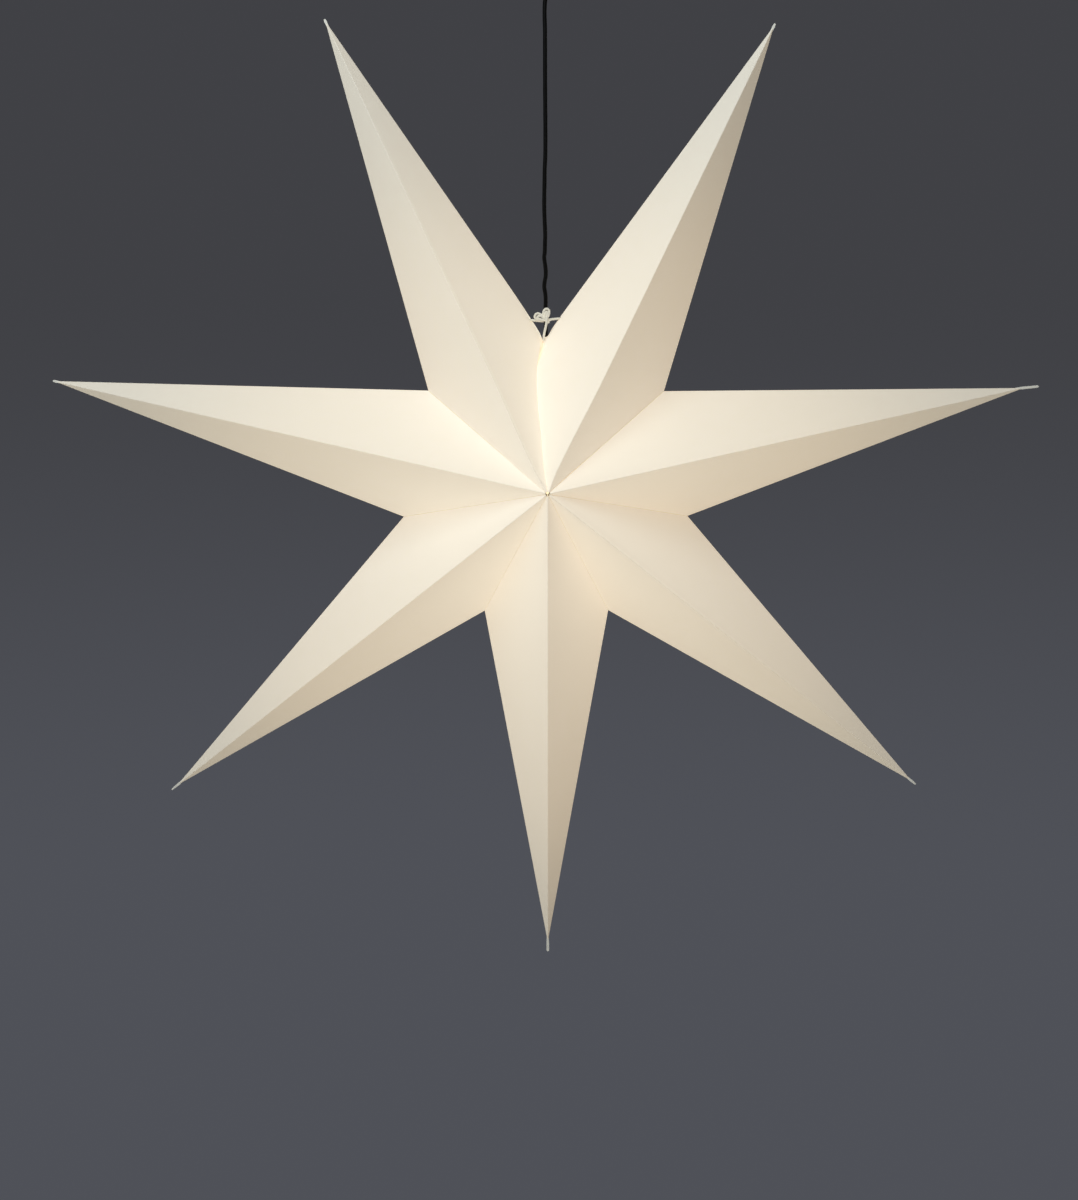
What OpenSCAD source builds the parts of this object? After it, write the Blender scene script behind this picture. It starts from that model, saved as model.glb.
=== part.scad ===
// Seven-pointed folded card star that hangs on a cord with a lamp inside it.
// X runs to the right, Y to the back, Z up. The origin is where the ceiling
// fitting meets the ceiling, and the star hangs straight below it.

/* [Star] */
// Reach of each point from the middle of the star to its tip
point_reach = 500; // [440:5:520]
// Reach of the inner corners between two points
corner_reach = 149; // [140:1:160]
// Depth from the middle plane of the star to its front or back peak
half_depth = 107; // [95:1:120]
// How far the tips of the sideways points sag under their own weight
tip_sag = 12; // [0:0.5:20]
// How far the open top corner hangs lower than a glued corner
top_corner_drop = 5.5; // [0:0.5:8]

/* [Card] */
// Thickness of the folded card
card = 0.4; // [0.3:0.05:0.7]
// Width of the glue flaps along the seams
flap_width = 12; // [8:0.5:14]
// Length over which each flap narrows towards the peak
flap_taper = 25; // [15:1:35]
// Width of the glue tab inside the back ridge of each point
tab_width = 10; // [6:0.5:12]
// Small round hole left where the seven points meet at a peak
peak_hole_d = 4; // [3:0.5:6]
// Punched hole in the fold of each top point for its string
string_hole_d = 3.4; // [3:0.1:4.5]
// Distance of the string holes from the top corner, along the fold
string_hole_up = 24; // [20:0.5:30]
// Free room round the cord and the string where they pass the top corner
corner_room = 0.6; // [0.4:0.1:1.2]

/* [Cord and strings] */
// Diameter of the pendant cord
cord_d = 4.2; // [3.6:0.1:4.8]
// Diameter of the tie strings
string_d = 2.4; // [2:0.1:2.6]
// Diameter of the stopper knot at the end of a tie string
stopper_d = 5.4; // [4.6:0.1:6]
// Free room between the cord and what it passes through
cord_room = 0.2; // [0.1:0.05:0.4]

/* [Lamp holder] */
// Outer diameter of the lamp holder
holder_d = 28; // [26:0.5:31]
// Length of the holder's lower shell
shell_length = 34; // [28:1:40]
// Height of the holder's tapered cap
cap_height = 17; // [14:0.5:20]
// Wall of the shell and the cap
holder_wall = 1.6; // [1.2:0.1:2.4]
// Height of the contact block inside the holder
block_height = 10; // [8:0.5:12]
// Inner diameter of the threaded sleeve
sleeve_bore = 14.1; // [13.9:0.1:14.6]
// Length of the threaded sleeve
sleeve_length = 21; // [18:0.5:23]
// Wall of the threaded sleeve
sleeve_wall = 0.5; // [0.4:0.1:1]
// Diameter of the cord grip on top of the holder
grip_d = 10; // [9:0.5:11]
// Height of the cord grip above the cap
grip_height = 7; // [5:0.5:8]

/* [Bulb] */
// Diameter of the round glass
bulb_d = 45; // [40:1:50]
// Length of the bulb from its end contact to the bottom of the glass
bulb_length = 78; // [72:1:86]
// Diameter of the screw cap
bulb_cap_d = 13.5; // [13:0.1:13.8]

/* [Ceiling fitting] */
// Outer diameter of the ceiling cup
cup_d = 90; // [80:1:110]
// Height of the ceiling cup
cup_height = 50; // [44:1:60]
// Wall of the ceiling cup
cup_wall = 1.8; // [1.4:0.1:3]
// Radius of the rounding round the bottom of the cup
cup_round = 12; // [6:1:16]
// Diameter of the cord grip under the cup
cup_grip_d = 18; // [16:0.5:22]
// Height of the cord grip under the cup
cup_grip_height = 14; // [10:0.5:16]
// Diameter of the threaded stem of that grip
stem_d = 10; // [9:0.5:12]
// Height of the nut that holds the grip from inside
nut_height = 4; // [3:0.5:6]
// Thickness of the steel ceiling strap
strap_thick = 1.5; // [1:0.1:2.5]
// Width of the ceiling strap
strap_width = 16; // [12:1:20]
// Distance between the two ceiling screw holes in the strap
strap_hole_gap = 50; // [44:1:56]
// Diameter of the ceiling screw holes
strap_hole_d = 4.5; // [4:0.1:5.5]
// Height of the strap's bent-down ears
ear_height = 14; // [12:0.5:18]
// Shaft diameter of the two cup screws
screw_d = 3.6; // [3:0.1:4]
// Width and depth of the terminal block
terminal_width = 20; // [16:1:24]

/* [Hidden] */

// Running clearance between round pieces that sit in one another
fit = 0.3;
// Round bores and bodies, and the small turned pieces
$fn = 48;

// The star has seven points, and the top corner is the open one
points = 7;
step = 360 / points;

// Centre line of the pendant cord from the lamp holder up to the ceiling.
// It is a little wavy above the bow, where it was bundled in its pack.
cord_route = [
    [0, 0, -455], [0, 0, -445], [0, 0, -434], [0, 0, -422], [0, 0, -408],
    [0, 0, -396], [0, 0, -384], [0.5, 0.2, -376], [1.2, 0.4, -369],
    [1, 0.3, -362], [0, 0, -355], [-0.9, -0.3, -348], [-0.8, -0.3, -341],
    [0.2, 0.1, -334], [1, 0.4, -327], [0.7, 0.3, -320], [-0.3, -0.1, -313],
    [-0.9, -0.3, -306], [-0.5, -0.2, -299], [0.3, 0.1, -292],
    [0.6, 0.2, -285], [0.2, 0, -278], [-0.3, -0.1, -270], [-0.3, 0, -260],
    [0, 0, -248], [0.2, 0, -235], [0.2, 0, -222], [0.1, 0, -208],
    [0, 0, -194], [0, 0, -180], [0, 0, -166], [0, 0, -152], [0, 0, -138],
    [0, 0, -124], [0, 0, -110], [0, 0, -96], [0, 0, -82], [0, 0, -68],
    [0, 0, -52], [0, 0, -34], [0, 0, -14],
];
cord_bottom_z = cord_route[0][2];
cord_top_z = cord_route[len(cord_route) - 1][2];
// The strings hold the open top corner at this height on the cord
top_corner_z = -406.5;
star_z = top_corner_z - corner_reach + top_corner_drop;

// Flat glued ends that stick out of the tips, counted as the points are
tip_ends = [1, 1, 5, 7, 4, 12, 2];
tip_end_width = 0.9;

card_colour = [0.95, 0.92, 0.84];
string_colour = [0.93, 0.91, 0.85];
black = [0.06, 0.06, 0.065];
brass = [0.78, 0.62, 0.3];
steel = [0.7, 0.71, 0.73];
ceramic_white = [0.9, 0.89, 0.86];

function unit(v) = v / norm(v);
function spot(angle, reach) = [reach * cos(angle), 0, reach * sin(angle)];

// Corner k counts anticlockwise from the top, seen from the front
function corner_angle(k) = 90 + k * step;
function corner_radius(k) = k % points == 0 ? corner_reach - top_corner_drop : corner_reach;
function corner(k) = spot(corner_angle(k), corner_radius(k));

// Point k lies between corners k and k + 1
function point_angle(k) = 90 + (k + 0.5) * step;
function tip(k) = spot(point_angle(k), point_reach) - [0, 0, tip_sag * abs(cos(point_angle(k)))];
function peak(side) = [0, side * half_depth, 0];

// Tip of point k moved in until it lies the card's thickness inside all four panels
function front_normal(k, j) = unit(cross(tip(k) - peak(-1), corner(j) - peak(-1)));
function inner_tip(k) =
    let (a = front_normal(k, k), b = -front_normal(k, k + 1), depth = [0, 1, 0])
    tip(k) + card * (cross(b, depth) + cross(depth, a)) / (a * cross(b, depth));

// Pyramid of point k over its two seams, with its edges drawn from the tip given
module point_form(k, from, stretch) {
    edge_ends = [peak(-1), corner(k), peak(1), corner(k + 1)];
    vertices = concat([from], [for (p = edge_ends) from + stretch * (p - tip(k))]);
    polyhedron(vertices, [[0, 2, 1], [0, 1, 4], [0, 3, 2], [0, 4, 3], [1, 2, 3], [1, 3, 4]]);
}

// Room between the two seam walls of point k
module seam_wedge(k) {
    inner = card / sin(step / 2);
    far = 1.4 * point_reach;
    rotate([90, 0, 0])
        linear_extrude(height = 3 * half_depth, center = true)
            translate(inner * [cos(point_angle(k)), sin(point_angle(k))])
                polygon([
                    [0, 0],
                    far * [cos(corner_angle(k)), sin(corner_angle(k))],
                    far * [cos(corner_angle(k + 1)), sin(corner_angle(k + 1))],
                ]);
}

// Opening in the seam wall at corner j: what is left round it is the two glue flaps
module seam_window(j) {
    reach = corner_radius(j);
    edge = norm([reach, half_depth]);
    function inner_edge(r) = half_depth * (1 - r / reach) - flap_width * edge / reach;
    half = [
        [flap_taper, inner_edge(flap_taper)],
        [0, half_depth - flap_width / 4],
        [-flap_taper, half_depth - flap_width / 4],
    ];
    rotate([0, -corner_angle(j), 0])
        linear_extrude(height = 3 * card, center = true)
            polygon(concat(
                [[reach - flap_width * edge / half_depth, 0]],
                half,
                [for (n = [len(half) - 1:-1:0]) [half[n][0], -half[n][1]]]
            ));
}

// Thin flat end where the card layers are glued together beyond the tip
module tip_end(k) {
    along = unit(tip(k) - corner(k) + tip(k) - corner(k + 1));
    start = 3;
    translate(tip(k))
        rotate([0, -atan2(along[2], along[0]), 0])
            rotate([90, 0, 0])
                linear_extrude(height = 2 * card, center = true)
                    polygon([
                        [-start, -tip_end_width / 2],
                        [tip_ends[k], -tip_end_width / 6],
                        [tip_ends[k], tip_end_width / 6],
                        [-start, tip_end_width / 2],
                    ]);
}

// Tab glued to the inside of the back panel beside corner k, along the back ridge
module ridge_tab(k) {
    from_tip = 40;
    from_peak = 12;
    // The tab's long side is buried in the other back panel where they meet at the ridge
    from_ridge = 0.6 * card;
    tab_depth = 1.75 * card;
    ridge = unit(peak(1) - tip(k));
    inward = unit(cross(peak(1) - tip(k), corner(k) - tip(k)));
    across = unit(cross(ridge, inward));
    toward = across * (corner(k) - tip(k)) > 0 ? across : -across;
    first = tip(k) + from_tip * ridge + from_ridge * toward;
    last = peak(1) - from_peak * ridge + from_ridge * toward;
    outline = [
        first,
        last,
        last + tab_width * (toward - 1.5 * ridge),
        first + tab_width * (toward + ridge),
    ];
    inner_side = inward[1] < 0 ? inward : -inward;
    polyhedron(
        concat([for (p = outline) p + card / 2 * inner_side],
               [for (p = outline) p + tab_depth * inner_side]),
        [[0, 1, 2, 3], [7, 6, 5, 4], [0, 4, 5, 1], [1, 5, 6, 2], [2, 6, 7, 3], [3, 7, 4, 0]]
    );
}

// Place of the string hole on the fold of a top point: side -1 left, 1 right
function fold_hole(side) =
    let (top = corner(0), end = tip(side < 0 ? 0 : points - 1))
    top + string_hole_up * unit(end - top);

module folded_point(k) {
    color(card_colour)
        translate([0, 0, star_z]) {
            difference() {
                union() {
                    point_form(k, tip(k), 1);
                    tip_end(k);
                }
                intersection() {
                    point_form(k, inner_tip(k), 1.1);
                    seam_wedge(k);
                }
                seam_window(k);
                seam_window(k + 1);
                rotate([90, 0, 0])
                    cylinder(d = peak_hole_d, h = 3 * half_depth, center = true);
            }
            ridge_tab(k);
        }
}

// Passage for the cord, and for the string end in front of it, at the open top corner
module corner_passage() {
    translate([0, 0, star_z + corner_reach / 2])
        cylinder(d = cord_d + 2 * corner_room, h = corner_reach);
    translate([tail_x, tail_y, star_z + corner_reach / 2])
        cylinder(d = string_d + 2 * corner_room, h = corner_reach);
}

module top_point(k, side) {
    color(card_colour)
        difference() {
            folded_point(k);
            corner_passage();
            translate(fold_hole(side) + [0, 0, star_z])
                rotate([0, 90, 0])
                    cylinder(d = string_hole_d, h = 12, center = true);
        }
}

// Direction of a route at point n
function along(p, n) = unit(p[min(n + 1, len(p) - 1)] - p[max(n - 1, 0)]);
// Side direction carried along the route without twisting
function square_to(side, way) = unit(side - (side * way) * way);
function carried(p) =
    [for (n = 0, side = square_to([0.2, 1, 0.3], along(p, 0));
          n < len(p);
          n = n + 1, side = n < len(p) ? square_to(side, along(p, n)) : side) side];

// Round tube along a route, with a radius for each of its points
module tube(p, radii, faces = 8) {
    sides = carried(p);
    last = len(p) - 1;
    rings = [
        for (n = [0:last], f = [0:faces - 1])
            let (turn = 360 * f / faces, up = cross(along(p, n), sides[n]))
            p[n] + radii[n] * (cos(turn) * sides[n] + sin(turn) * up)
    ];
    walls = [
        for (n = [0:last - 1], f = [0:faces - 1])
            let (g = (f + 1) % faces, a = n * faces, b = a + faces)
            each [[a + f, b + f, b + g], [a + f, b + g, a + g]]
    ];
    start = [for (f = [0:faces - 1]) f];
    end = [for (f = [faces - 1:-1:0]) last * faces + f];
    polyhedron(rings, concat(walls, [start, end]));
}

module pendant_cord() {
    color(black)
        tube(cord_route, [for (p = cord_route) cord_d / 2]);
}

// The strings lie in layers in front of the cord and behind it
front_y = -(cord_d + string_d) / 2 - fit;
back_y = -front_y;
knot_z = fold_hole(1)[2] + 0.6;
// The end of the right string hangs down here into the top corner
tail_x = -2;
tail_y = front_y - 1.4;

// Stopper knot: the string swells near its end inside the point, then keeps its size
stopper_swell = [0.4, 0.85, 1, 0.85];
stopper_along = [8.5, 7.5, 6, 4.5];
function string_radius(n) =
    n < len(stopper_swell) ? stopper_swell[n] * stopper_d / 2 : string_d / 2;
function stopper_route(side) =
    [for (x = stopper_along) fold_hole(side) + [side * x, 0, 0]];

// Left string: from its stopper round the back of the cord, then into the left loop
left_string_route = concat(
    stopper_route(-1),
    [fold_hole(-1) - [3, 0, 0], fold_hole(-1), fold_hole(-1) + [3, 0.8, 0.2]],
    [for (q = [
        [-6, back_y - 1, -0.4], [-3, back_y, -0.2], [0, back_y + 0.3, 0],
        [2.9, back_y - 0.7, 0.2], [4.3, 1, 0.4], [4, -1.6, 0.6],
        [2.3, front_y + 0.2, 0.8], [-0.4, front_y - 0.2, 1],
        [-3, front_y - 0.8, 2.4], [-5.4, front_y - 1.2, 4.6],
        [-8, front_y - 1.2, 6], [-10.6, front_y - 1, 5],
        [-11.6, front_y - 1, 2.6], [-10.4, front_y - 1.1, 0.2],
        [-7.8, front_y - 1.6, -0.9], [-5, front_y - 2.4, -0.9],
        [-2.4, front_y - 2.9, -0.4], [-0.2, front_y - 3, -1],
        [1.4, front_y - 2.7, -2.4], [2.2, front_y - 2.5, -4.2],
    ]) [q[0], q[1], knot_z + q[2]]]
);

// Right string: from its stopper across the front, up into the small upper loop,
// over the knot and down into the open top corner
right_string_route = concat(
    stopper_route(1),
    [fold_hole(1) + [3, 0, 0], fold_hole(1), fold_hole(1) + [-2.6, -1.2, 0.4]],
    [for (q = [
        [7.6, front_y + 0.2, 1.4], [5, front_y - 2, 2.6], [2.4, front_y - 3, 3.4],
        [0, front_y - 3.2, 4.4], [-1.5, front_y - 3, 6.6], [-1.3, front_y - 2.8, 9.2],
        [0.4, front_y - 2.8, 11], [2.8, front_y - 3, 11], [4.2, front_y - 3.4, 9.2],
        [3.9, front_y - 4.2, 6.8], [2.4, front_y - 5.2, 4.6], [0.4, front_y - 6, 2.4],
        [-1.2, front_y - 6.2, 0], [-1.9, front_y - 5.8, -2.6],
        [tail_x, front_y - 4.9, -5.4], [tail_x, front_y - 3.8, -8.6],
        [tail_x, front_y - 2.7, -12], [tail_x, tail_y - 0.3, -15.6],
        [tail_x, tail_y, -19.2], [tail_x, tail_y, -23], [tail_x, tail_y, -27],
    ]) [q[0], q[1], knot_z + q[2]]]
);

module tie_string(route) {
    color(string_colour)
        translate([0, 0, star_z])
            tube(route, [for (n = [0:len(route) - 1]) string_radius(n)]);
}

// Lamp holder, hung by the cord: heights run down from the end of the cord
holder_inner = holder_d / 2 - holder_wall;
seam_z = cord_bottom_z - 3;
cap_top_z = seam_z + cap_height;
cap_neck = grip_d / 2 + 1.5;
// The grip's stem goes down through the cap's wall and a little past it
grip_stem = grip_d / 2 - 1.6;
grip_stem_reach = holder_wall + 2;
// The cap has a straight skirt for this share of its height
cap_skirt = 0.4;

module holder_cord_grip() {
    color(black)
        translate([0, 0, cap_top_z])
            rotate_extrude()
                polygon([
                    [cord_d / 2 + cord_room, -grip_stem_reach],
                    [grip_stem, -grip_stem_reach],
                    [grip_stem, 0],
                    [grip_d / 2, 0],
                    [grip_d / 2, grip_height - 3],
                    [grip_d / 2 - 1.5, grip_height],
                    [cord_d / 2 + cord_room, grip_height],
                ]);
}

module holder_cap() {
    neck_bore = grip_stem + fit / 2;
    color(black)
        translate([0, 0, seam_z])
            rotate_extrude()
                polygon([
                    [holder_inner, 0],
                    [holder_d / 2, 0],
                    [holder_d / 2, cap_height * cap_skirt],
                    [cap_neck, cap_height],
                    [neck_bore, cap_height],
                    [neck_bore, cap_height - holder_wall],
                    [cap_neck - holder_wall, cap_height - holder_wall],
                    [holder_inner, cap_height * cap_skirt - holder_wall / 2],
                ]);
}

module holder_shell() {
    color(black)
        translate([0, 0, seam_z - shell_length])
            rotate_extrude()
                polygon([
                    [holder_inner, 0],
                    [holder_d / 2 - 0.6, 0],
                    [holder_d / 2, 0.6],
                    [holder_d / 2, shell_length],
                    [holder_inner, shell_length],
                ]);
}

block_bottom_z = cord_bottom_z - block_height;

module contact_block() {
    color(ceramic_white)
        translate([0, 0, block_bottom_z])
            cylinder(r = holder_inner - fit, h = block_height);
}

contact_height = 1.4;
contact_d = 6;

module centre_contact() {
    color(brass)
        translate([0, 0, block_bottom_z - contact_height])
            cylinder(d = contact_d, h = contact_height);
}

module threaded_sleeve() {
    color(brass)
        translate([0, 0, block_bottom_z - sleeve_length])
            difference() {
                cylinder(d = sleeve_bore + 2 * sleeve_wall, h = sleeve_length);
                translate([0, 0, -1])
                    cylinder(d = sleeve_bore, h = sleeve_length + 2);
            }
}

// One sealed bulb: end contact, screw cap, flared base and round glass
bulb_top_z = block_bottom_z - contact_height - fit;

module bulb() {
    glass_r = bulb_d / 2;
    middle = -bulb_length + glass_r;
    cap_r = bulb_cap_d / 2;
    flare = 1.6;
    neck_angle = 42;
    color([0.97, 0.95, 0.9])
        translate([0, 0, bulb_top_z])
            rotate_extrude()
                polygon(concat(
                    [[0, 0], [2.6, 0], [3.4, -1.2], [cap_r - 1, -2.6], [cap_r, -3.6]],
                    [[cap_r, -sleeve_length], [cap_r + flare, -sleeve_length - flare]],
                    [for (a = [neck_angle:-12:-90])
                        [glass_r * cos(a), middle + glass_r * sin(a)]]
                ));
}

// Ceiling fitting: the cup hides a strap that is screwed to the ceiling
cup_inner = cup_d / 2 - cup_wall;

module ceiling_cup() {
    mouth = stem_d / 2 + fit;
    function arc(centre, radius) =
        [for (a = [-90:15:0]) centre + radius * [cos(a), sin(a)]];
    bend = [cup_d / 2 - cup_round, cup_round - cup_height];
    inside = arc(bend, cup_round - cup_wall);
    screw_hole_z = -ear_height / 2;
    color(black)
        difference() {
            rotate_extrude()
                polygon(concat(
                    [[mouth, cup_wall - cup_height], [mouth, -cup_height]],
                    arc(bend, cup_round),
                    [[cup_d / 2, 0], [cup_inner, 0]],
                    [for (n = [len(inside) - 1:-1:0]) inside[n]]
                ));
            translate([0, 0, screw_hole_z])
                rotate([0, 90, 0])
                    cylinder(d = screw_d + 2 * fit, h = 2 * cup_d, center = true);
        }
}

module cup_cord_grip() {
    bore = cord_d / 2 + cord_room;
    stem_top = cup_wall + nut_height;
    color(black)
        translate([0, 0, -cup_height])
            rotate_extrude()
                polygon([
                    [bore, -cup_grip_height],
                    [bore + 2, -cup_grip_height],
                    [cup_grip_d / 2, -cup_grip_height * 0.45],
                    [cup_grip_d / 2, 0],
                    [stem_d / 2, 0],
                    [stem_d / 2, stem_top],
                    [bore, stem_top],
                ]);
}

module cup_grip_nut() {
    color(black)
        translate([0, 0, cup_wall - cup_height])
            difference() {
                cylinder(d = stem_d * 1.7, h = nut_height, $fn = 6);
                translate([0, 0, -1])
                    cylinder(d = stem_d + fit, h = nut_height + 2);
            }
}

// The ears stand just inside the cup wall at their corners
ear_x = sqrt(pow(cup_inner, 2) - pow(strap_width / 2, 2)) - fit;
tapped_d = screw_d + 0.2;

module ceiling_strap() {
    color(steel)
        difference() {
            union() {
                translate([-ear_x, -strap_width / 2, -strap_thick])
                    cube([2 * ear_x, strap_width, strap_thick]);
                for (side = [-1, 1])
                    translate([side * (ear_x - strap_thick / 2) - strap_thick / 2,
                               -strap_width / 2, -ear_height])
                        cube([strap_thick, strap_width, ear_height]);
            }
            for (side = [-1, 1])
                translate([side * strap_hole_gap / 2, 0, -strap_thick - 1])
                    cylinder(d = strap_hole_d, h = strap_thick + 2);
            translate([0, 0, -ear_height / 2])
                rotate([0, 90, 0])
                    cylinder(d = tapped_d, h = 3 * ear_x, center = true);
        }
}

module cup_screws() {
    head_height = 2.2;
    inside_length = 4;
    color(steel)
        for (side = [-1, 1])
            rotate([0, side * 90, 0])
                translate([side * ear_height / 2, 0, 0]) {
                    translate([0, 0, ear_x - inside_length])
                        cylinder(d = screw_d, h = cup_d / 2 - ear_x + inside_length + 0.1);
                    translate([0, 0, cup_d / 2 + 0.1])
                        cylinder(d1 = screw_d * 1.9, d2 = screw_d * 1.5, h = head_height);
                }
}

module terminal_block() {
    color(ceramic_white)
        translate([-terminal_width / 2, -terminal_width * 0.35, cord_top_z])
            cube([terminal_width, terminal_width * 0.7, -strap_thick - cord_top_z]);
}

top_point(0, -1);  // point_top_left
folded_point(1);  // point_left
folded_point(2);  // point_lower_left
folded_point(3);  // point_bottom
folded_point(4);  // point_lower_right
folded_point(5);  // point_right
top_point(points - 1, 1);  // point_top_right
tie_string(left_string_route);  // tie_string_left
tie_string(right_string_route);  // tie_string_right
pendant_cord();
holder_cord_grip();
holder_cap();
holder_shell();
contact_block();
centre_contact();
threaded_sleeve();
bulb();
cup_cord_grip();
cup_grip_nut();
ceiling_cup();
ceiling_strap();
cup_screws();
terminal_block();
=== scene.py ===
"""Folded card star lantern on a black pendant cord, lit by the bulb that hangs inside it."""
import math

import bmesh
import bpy
from mathutils import Matrix, Vector


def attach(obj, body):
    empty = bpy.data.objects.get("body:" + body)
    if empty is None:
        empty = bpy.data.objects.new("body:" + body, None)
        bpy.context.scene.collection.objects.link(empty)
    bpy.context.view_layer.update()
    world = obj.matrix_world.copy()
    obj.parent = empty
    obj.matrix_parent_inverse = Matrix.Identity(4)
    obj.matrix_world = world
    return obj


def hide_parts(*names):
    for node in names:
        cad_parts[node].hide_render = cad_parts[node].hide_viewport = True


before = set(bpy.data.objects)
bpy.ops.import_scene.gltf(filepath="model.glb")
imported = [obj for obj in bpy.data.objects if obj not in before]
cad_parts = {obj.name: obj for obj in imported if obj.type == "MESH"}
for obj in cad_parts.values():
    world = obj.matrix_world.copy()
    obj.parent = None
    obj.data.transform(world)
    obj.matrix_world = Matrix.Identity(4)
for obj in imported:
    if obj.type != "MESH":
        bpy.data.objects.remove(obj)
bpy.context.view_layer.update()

# ---- star sizes, in metres
POINTS = 7
STEP = 2 * math.pi / POINTS
POINT_REACH = 0.5
CORNER_REACH = 0.149
HALF_DEPTH = 0.107
TIP_SAG = 0.012
TOP_CORNER_DROP = 0.0055
STAR_Z = -0.55
CARD = 0.0004
FOLD_RADIUS = 0.0006
SEAM_ROOM = 0.00005
SEAM_OFFSET = FOLD_RADIUS + SEAM_ROOM
LAYER_GAP = 0.00004
FLAP_WIDTH = 0.012
FLAP_TAPER = 0.025
# Share of the seam where a flap starts to narrow toward the peak, and where it ends
FLAP_SHOULDER = 0.82
FLAP_END = (0.0014, HALF_DEPTH - 0.014)
FLAP_GAP = 0.0002
TAB_WIDTH = 0.01
TAB_FROM_PEAK = 0.012
TAB_FROM_TIP = 0.04
TAB_SLOPE = 1.5
TAB_COLUMNS = (0.35, 0.7, 1)
FREE_EDGE_SHIFT = 0.00005
# How far a panel bows at most
CARD_BOW = 0.0007
PEAK_HOLE_R = 0.002
STRING_HOLE_R = 0.0017
# How far up each top point's outline fold its string hole is
STRING_HOLE_UP = {-1: 0.0206, 1: 0.023}
# Length and end width of the glued end beyond each tip, and its lean off the point's own line
TIP_ENDS = ((0.0004, 0.0012, 0), (0.0004, 0.0012, 0), (0.0074, 0.0016, 0), (0.01, 0.003, 0),
            (0.0053, 0.0018, 0), (0.0148, 0.0026, -5), (0.0012, 0.0012, 0))
# How far each hand-folded tip and inner corner lies from a perfectly even star (across, up)
TIP_DRIFT = ((0.0031, -0.0001), (-0.0056, 0.0015), (0.0029, -0.0002), (0.0042, 0.0004),
             (0.0002, 0.0024), (-0.003, -0.0034), (0.0029, -0.0021))
CORNER_DRIFT = ((-0.0011, 0.0017), (-0.0019, -0.0005), (0.0003, -0.0024), (0.0021, 0.0007),
                (0.0009, 0.0011), (0.0006, -0.0015), (0.0029, -0.0006))
STAR_CENTRE = Vector((0, 0, STAR_Z))
POINT_NAMES = ("point_top_left", "point_left", "point_lower_left", "point_bottom",
               "point_lower_right", "point_right", "point_top_right")

# Cord, strings, lamp holder and bulb
CORD_R = 0.0021
STRING_R = 0.0012
STOPPER_R = 0.0027
BULB_R = 0.0225
BULB_CENTRE = Vector((0, 0, -0.5222))
BULB_CAP_R = 0.00675
BULB_TOP_Z = -0.4667

# Ceiling fitting
CUP_R = 0.045
CUP_HEIGHT = 0.05
CUP_WALL = 0.0018
CUP_ROUND = 0.012
CUP_GRIP_R = 0.009
CUP_GRIP_HEIGHT = 0.014
GRIP_RIBS = 24
STEM_R = 0.005
NUT_HEIGHT = 0.004
STRAP_THICK = 0.0015
STRAP_WIDTH = 0.016
STRAP_HOLE_GAP = 0.05
STRAP_HOLE_R = 0.00225
EAR_HEIGHT = 0.014
EAR_X = math.sqrt((CUP_R - CUP_WALL) ** 2 - (STRAP_WIDTH / 2) ** 2) - 0.0003
SCREW_R = 0.0018
SCREW_THREAD = 0.0003
SCREW_PITCH = 0.0009
SCREW_TURNS = 7
TERMINAL_WIDTH = 0.02
CORD_TOP_Z = -0.014

# Colours and light
CARD_WHITE = (0.86, 0.85, 0.82)
CARD_CLOUD = 0.05
GLOW_NEAR = (0.275, 0.26, 0.231)
GLOW_FAR = (0.17, 0.101, 0.033)
GLOW_AT_TIPS = 0.53
GLOW_REACH = 0.3
GLASS_GLOW_REACH = 0.12
GLOW_CENTRE = (0, 0, -0.6)
AMBIENT = 0.126
ROOM_HIGH = (0.052, 0.053, 0.06)
ROOM_LOW = (0.079, 0.083, 0.098)


def add_object(name, data):
    """Object with this data, in the scene."""
    made = bpy.data.objects.new(name, data)
    bpy.context.scene.collection.objects.link(made)
    return made


# ---- camera
def add_camera():
    """Camera where the photograph was taken, a little above the middle of the star."""
    pitch, yaw, roll = math.radians(10.71), math.radians(0.93), math.radians(-0.02)
    turn = (Matrix.Rotation(-roll, 3, "Y") @ Matrix.Rotation(-pitch, 3, "X")
            @ Matrix.Rotation(-yaw, 3, "Z") @ Matrix.Rotation(math.radians(90), 3, "X"))
    camera = add_object("star_camera", bpy.data.cameras.new("star_camera"))
    camera.data.lens = 44.22
    camera.data.sensor_width = 36
    camera.matrix_world = turn.to_4x4()
    camera.location = (-0.03094, -1.49827, -0.38891)
    bpy.context.scene.camera = camera


add_camera()


# ---- mesh helpers: a form is a list of corners and a list of faces
def part_from_mesh(name, verts, faces, materials, face_materials=None, sharp=35):
    """Object from corner and face lists, smooth except along edges sharper than the angle."""
    mesh = bpy.data.meshes.new(name)
    mesh.from_pydata([tuple(v) for v in verts], [], faces)
    for material in materials:
        mesh.materials.append(material)
    if face_materials:
        mesh.polygons.foreach_set("material_index", face_materials)
    mesh.polygons.foreach_set("use_smooth", [True] * len(mesh.polygons))
    turn_faces_outward(mesh)
    mesh.set_sharp_from_angle(angle=math.radians(sharp))
    return add_object(name, mesh)


def turn_faces_outward(mesh):
    work = bmesh.new()
    work.from_mesh(mesh)
    bmesh.ops.recalc_face_normals(work, faces=work.faces)
    work.to_mesh(mesh)
    work.free()
    mesh.update()


def band(low, high):
    """Faces between two closed rings of corners, with shared corners taken once."""
    faces = []
    for s in range(len(low)):
        t = (s + 1) % len(low)
        face = list(dict.fromkeys((low[s], low[t], high[t], high[s])))
        if len(face) > 2:
            faces.append(face)
    return faces


def ring_rows(count, around):
    """Corner numbers of so many rings, one after the other."""
    return [range(n * around, (n + 1) * around) for n in range(count)]


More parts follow.
